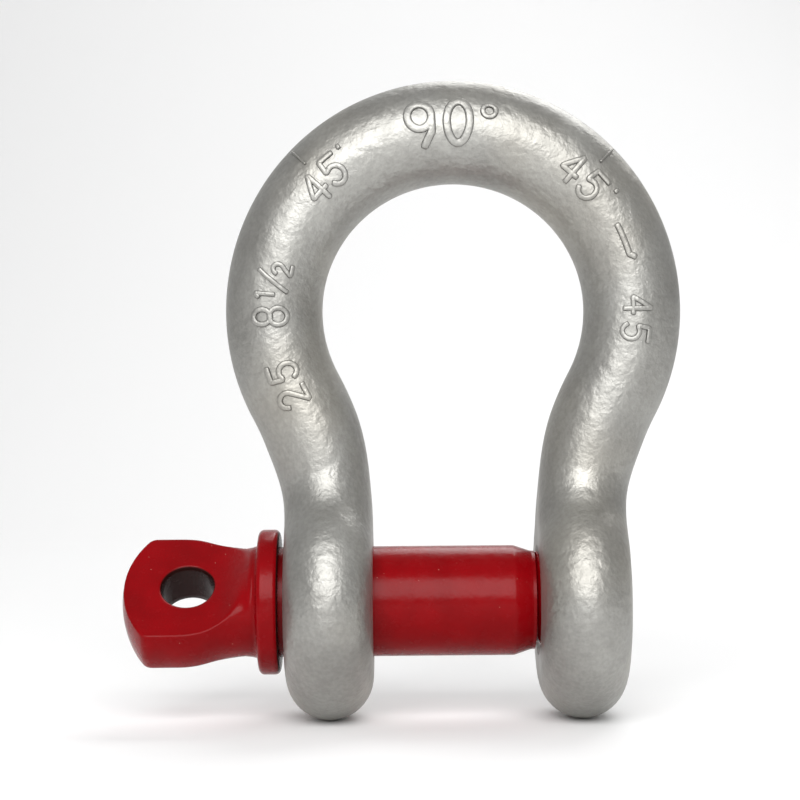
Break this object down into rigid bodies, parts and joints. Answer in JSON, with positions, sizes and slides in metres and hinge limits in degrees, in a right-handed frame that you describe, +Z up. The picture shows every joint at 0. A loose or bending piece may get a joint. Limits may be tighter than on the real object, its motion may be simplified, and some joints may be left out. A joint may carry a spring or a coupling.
{
  "type": "bow shackle",
  "caption": "Forged bow shackle whose ears are closed by a screw pin with a collar and a flat eye, for joining chain, wire, rope and lifting gear.",
  "frame": {"origin": "on the pin's axis, midway between the two ears", "axes": "+X along the pin towards the tapped ear, +Z up to the crown of the bow, +Y square to the bow's plane"},
  "size_m": [0.1461, 0.0614, 0.1665],
  "materials": {
    "galvanised_steel": "hot-dip galvanised forging, matt silver grey",
    "red_enamel": "deep red enamel, semi-gloss"
  },
  "bodies": {
    "bow": {"shackle_bow": "galvanised_steel"},
    "collar": {"pin_collar": "red_enamel"},
    "pin": {"screw_pin": "red_enamel"}
  },
  "joints": [
    {"name": "pin_travel", "type": "slide", "parent": "bow", "child": "collar", "axis": [1, 0, 0], "range_m": [-0.09525, 0.00145]},
    {"name": "pin_turn", "type": "hinge", "parent": "collar", "child": "pin", "pos_m": [0, 0, 0], "axis": [1, 0, 0], "range_deg": [-10801, 164.5]}
  ],
  "couplings": [
    {"joint": "pin_turn", "follows": "pin_travel", "rad_per_m": 1979}
  ]
}
